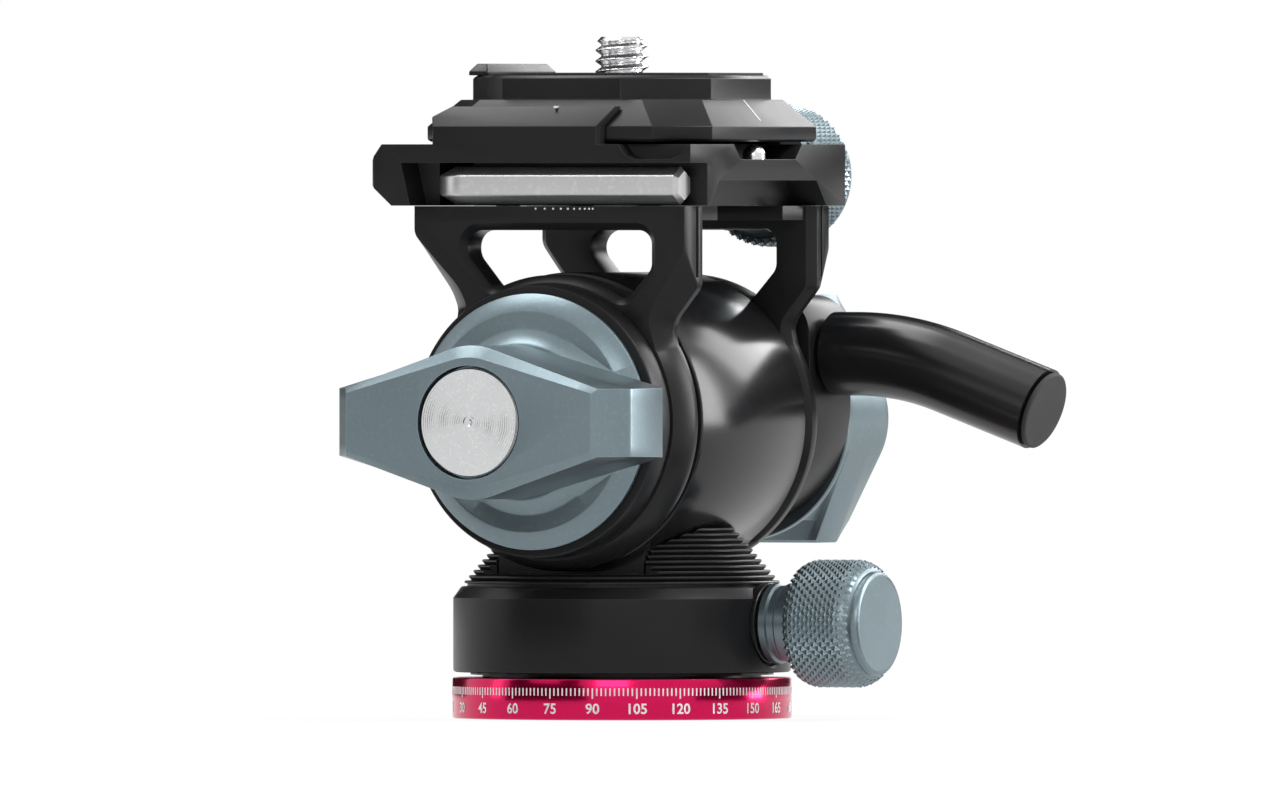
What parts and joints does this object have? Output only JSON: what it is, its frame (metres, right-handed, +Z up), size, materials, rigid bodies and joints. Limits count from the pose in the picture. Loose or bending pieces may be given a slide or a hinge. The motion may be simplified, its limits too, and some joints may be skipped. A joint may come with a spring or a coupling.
{
  "type": "fluid head",
  "caption": "Compact fluid head: panning base with a degree ring, fluid drum in a tilting yoke, wing lock knobs, dovetail camera clamp with its plate, and a bent pan handle.",
  "frame": {"origin": "middle of the seat that stands on the tripod, on the pan axis", "axes": "+Z up along the pan axis, +X towards the side the handle reaches to, -Y towards the side with the tilt lock knob"},
  "size_m": [0.0683, 0.0931, 0.0811],
  "materials": {
    "black_anodised": "satin black anodised",
    "satin_black": "smooth black anodised",
    "blue_grey_anodised": "fine sandblasted blue-grey anodised",
    "rose_red_anodised": "glossy rose-red anodised",
    "spun_silver": "bright spun",
    "plated_steel": "bright plated steel",
    "bearing_bronze": "plain turned bronze",
    "black_rubber": "matt",
    "friction_fibre": "woven fibre, matt"
  },
  "bodies": {
    "base": {"scale_ring": "rose_red_anodised", "base_plate": "black_anodised", "tripod_bushing": "plated_steel", "pan_spindle": "plated_steel", "pan_bearing_ring": "black_anodised", "pan_friction_disc": "friction_fibre", "pan_thrust_washer": "plated_steel", "pan_spindle_nut": "plated_steel"},
    "pan": {"pan_housing": "black_anodised", "pan_brake_shoe": "bearing_bronze", "tilt_housing": "satin_black", "neck_screw_1": "plated_steel", "neck_screw_2": "plated_steel", "neck_screw_3": "plated_steel", "neck_screw_4": "plated_steel", "tilt_bearing_near": "bearing_bronze", "tilt_bearing_far": "bearing_bronze", "tilt_seal_near": "black_rubber", "tilt_seal_far": "black_rubber", "damping_sleeve": "black_anodised", "drum_cover": "black_anodised"},
    "tilt": {"tilt_shaft": "plated_steel", "damping_rotor": "plated_steel", "side_plate_near": "black_anodised", "side_plate_far": "black_anodised", "tilt_hub_ring": "black_anodised", "tilt_brake_disc": "friction_fibre", "clamp_body": "black_anodised", "yoke_screw_1": "plated_steel", "yoke_screw_2": "plated_steel", "yoke_screw_3": "plated_steel", "yoke_screw_4": "plated_steel", "key_magnet": "plated_steel"},
    "jaw": {"clamp_jaw": "black_anodised"},
    "clamp_screw": {"clamp_knob": "blue_grey_anodised", "clamp_stud": "plated_steel"},
    "pin": {"safety_pin": "plated_steel"},
    "plate": {"quick_plate": "black_anodised", "plate_pad": "black_rubber", "anti_twist_lug": "black_anodised"},
    "camera_bolt": {"camera_screw": "plated_steel"},
    "tilt_lock": {"tilt_knob": "blue_grey_anodised", "tilt_knob_cap": "spun_silver", "tilt_lock_stud": "plated_steel"},
    "handle_lock": {"handle_knob": "blue_grey_anodised", "handle_knob_cap": "spun_silver", "handle_lock_stud": "plated_steel"},
    "handle": {"handle_block": "black_anodised", "handle_tube": "black_anodised", "handle_end_plug": "black_rubber"},
    "pan_lock": {"pan_knob": "blue_grey_anodised", "pan_knob_washer": "black_anodised", "pan_lock_stud": "plated_steel"},
    "key": {"hex_key": "plated_steel"}
  },
  "joints": [
    {"name": "pan", "type": "hinge", "parent": "base", "child": "pan", "pos_m": [0, 0, 0], "axis": [0, 0, 1], "continuous": true},
    {"name": "tilt", "type": "hinge", "parent": "pan", "child": "tilt", "pos_m": [0, 0, 0.0354], "axis": [0, 1, 0], "range_deg": [-90, 80]},
    {"name": "handle_swing", "type": "hinge", "parent": "tilt", "child": "handle", "pos_m": [0, 0, 0.0354], "axis": [0, 1, 0], "range_deg": [-25, 90]},
    {"name": "tilt_knob_turn", "type": "hinge", "parent": "tilt", "child": "tilt_lock", "pos_m": [0, 0, 0.0354], "axis": [0, -1, 0], "range_deg": [-30, 180]},
    {"name": "handle_knob_turn", "type": "hinge", "parent": "tilt", "child": "handle_lock", "pos_m": [0, 0, 0.0354], "axis": [0, 1, 0], "range_deg": [-30, 180]},
    {"name": "pan_knob_turn", "type": "hinge", "parent": "pan", "child": "pan_lock", "pos_m": [0.0201, 0, 0.0114], "axis": [1, 0, 0], "range_deg": [-60, 360]},
    {"name": "jaw_slide", "type": "slide", "parent": "tilt", "child": "jaw", "axis": [0, 1, 0], "range_m": [0, 0.002]},
    {"name": "clamp_knob_turn", "type": "hinge", "parent": "jaw", "child": "clamp_screw", "pos_m": [0.0071, 0.0214, 0.0646], "axis": [0, 1, 0], "range_deg": [0, 1030]},
    {"name": "safety_pin_press", "type": "slide", "parent": "tilt", "child": "pin", "axis": [0, 0, 1], "range_m": [-0.0012, 0], "stiffness_N_per_m": 300},
    {"name": "quick_plate_slide", "type": "slide", "parent": "tilt", "child": "plate", "axis": [1, 0, 0], "range_m": [-0.036, 0.033]},
    {"name": "camera_screw_turn", "type": "hinge", "parent": "plate", "child": "camera_bolt", "pos_m": [0, 0, 0.0686], "axis": [0, 0, 1], "continuous": true},
    {"name": "key_lift", "type": "slide", "parent": "tilt", "child": "key", "axis": [0, -1, 0], "range_m": [0, 0.016]}
  ],
  "couplings": [
    {"joint": "clamp_knob_turn", "follows": "jaw_slide", "rad_per_m": 8976}
  ]
}
